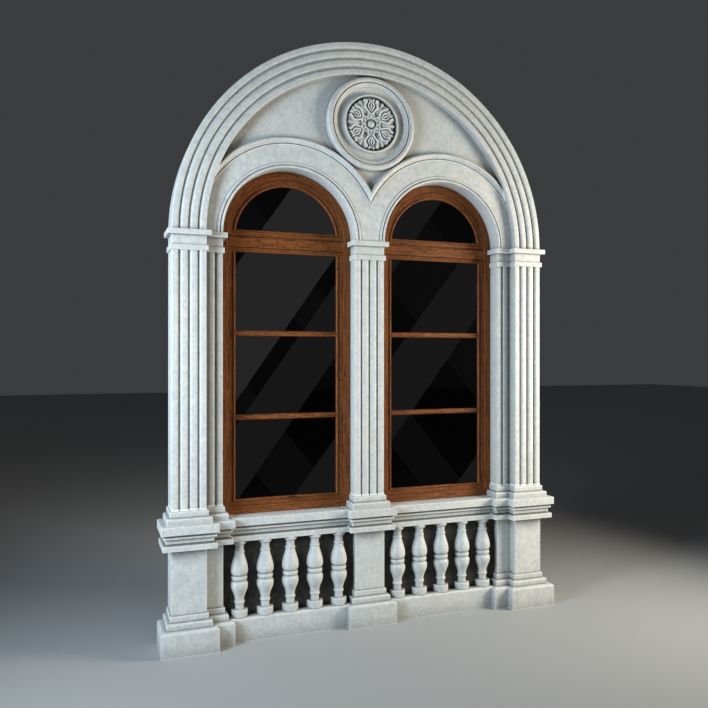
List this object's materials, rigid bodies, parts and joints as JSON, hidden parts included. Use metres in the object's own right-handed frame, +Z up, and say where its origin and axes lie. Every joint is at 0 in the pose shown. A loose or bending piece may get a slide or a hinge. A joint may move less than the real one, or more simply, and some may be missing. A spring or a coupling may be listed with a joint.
{
  "type": "window surround",
  "caption": "Arched twin window surround in pale stone: fluted pilasters on pedestals, balustrade, round arches, carved rosette and glazed timber windows.",
  "frame": {"origin": "middle of the underside", "axes": "+Z up, the front faces -Y, +X to the viewer's right when facing the front"},
  "size_m": [3.5464, 0.345, 4.989],
  "materials": {
    "pale_stone": "fine honed, faint mottling",
    "dark_panel": "rough dark render",
    "stained_wood": "red-brown stain, satin",
    "glass": "clear, dark room behind"
  },
  "bodies": {
    "root": {"archivolts": "pale_stone", "baluster_01": "pale_stone", "baluster_02": "pale_stone", "baluster_03": "pale_stone", "baluster_04": "pale_stone", "baluster_05": "pale_stone", "baluster_06": "pale_stone", "baluster_07": "pale_stone", "baluster_08": "pale_stone", "baluster_09": "pale_stone", "baluster_10": "pale_stone", "base_rail_left": "pale_stone", "base_rail_right": "pale_stone", "cap_centre": "pale_stone", "cap_left": "pale_stone", "cap_right": "pale_stone", "capital_centre": "pale_stone", "capital_left": "pale_stone", "capital_right": "pale_stone", "frame_left": "stained_wood", "frame_right": "stained_wood", "great_arch": "pale_stone", "lower_light_left": "stained_wood", "lower_light_right": "stained_wood", "muntin_left_1": "stained_wood", "muntin_left_2": "stained_wood", "muntin_right_1": "stained_wood", "muntin_right_2": "stained_wood", "pane_left_1": "glass", "pane_left_2": "glass", "pane_left_3": "glass", "pane_left_4": "glass", "pane_right_1": "glass", "pane_right_2": "glass", "pane_right_3": "glass", "pane_right_4": "glass", "panel_left": "dark_panel", "panel_right": "dark_panel", "pedestal_centre": "pale_stone", "pedestal_left": "pale_stone", "pedestal_right": "pale_stone", "pilaster_base_centre": "pale_stone", "pilaster_base_left": "pale_stone", "pilaster_base_right": "pale_stone", "pilaster_centre": "pale_stone", "pilaster_left": "pale_stone", "pilaster_right": "pale_stone", "rosette": "pale_stone", "roundel": "pale_stone", "sill_left": "pale_stone", "sill_right": "pale_stone", "transom_left": "stained_wood", "transom_right": "stained_wood", "tympanum": "pale_stone", "upper_light_left": "stained_wood", "upper_light_right": "stained_wood"}
  },
  "joints": []
}
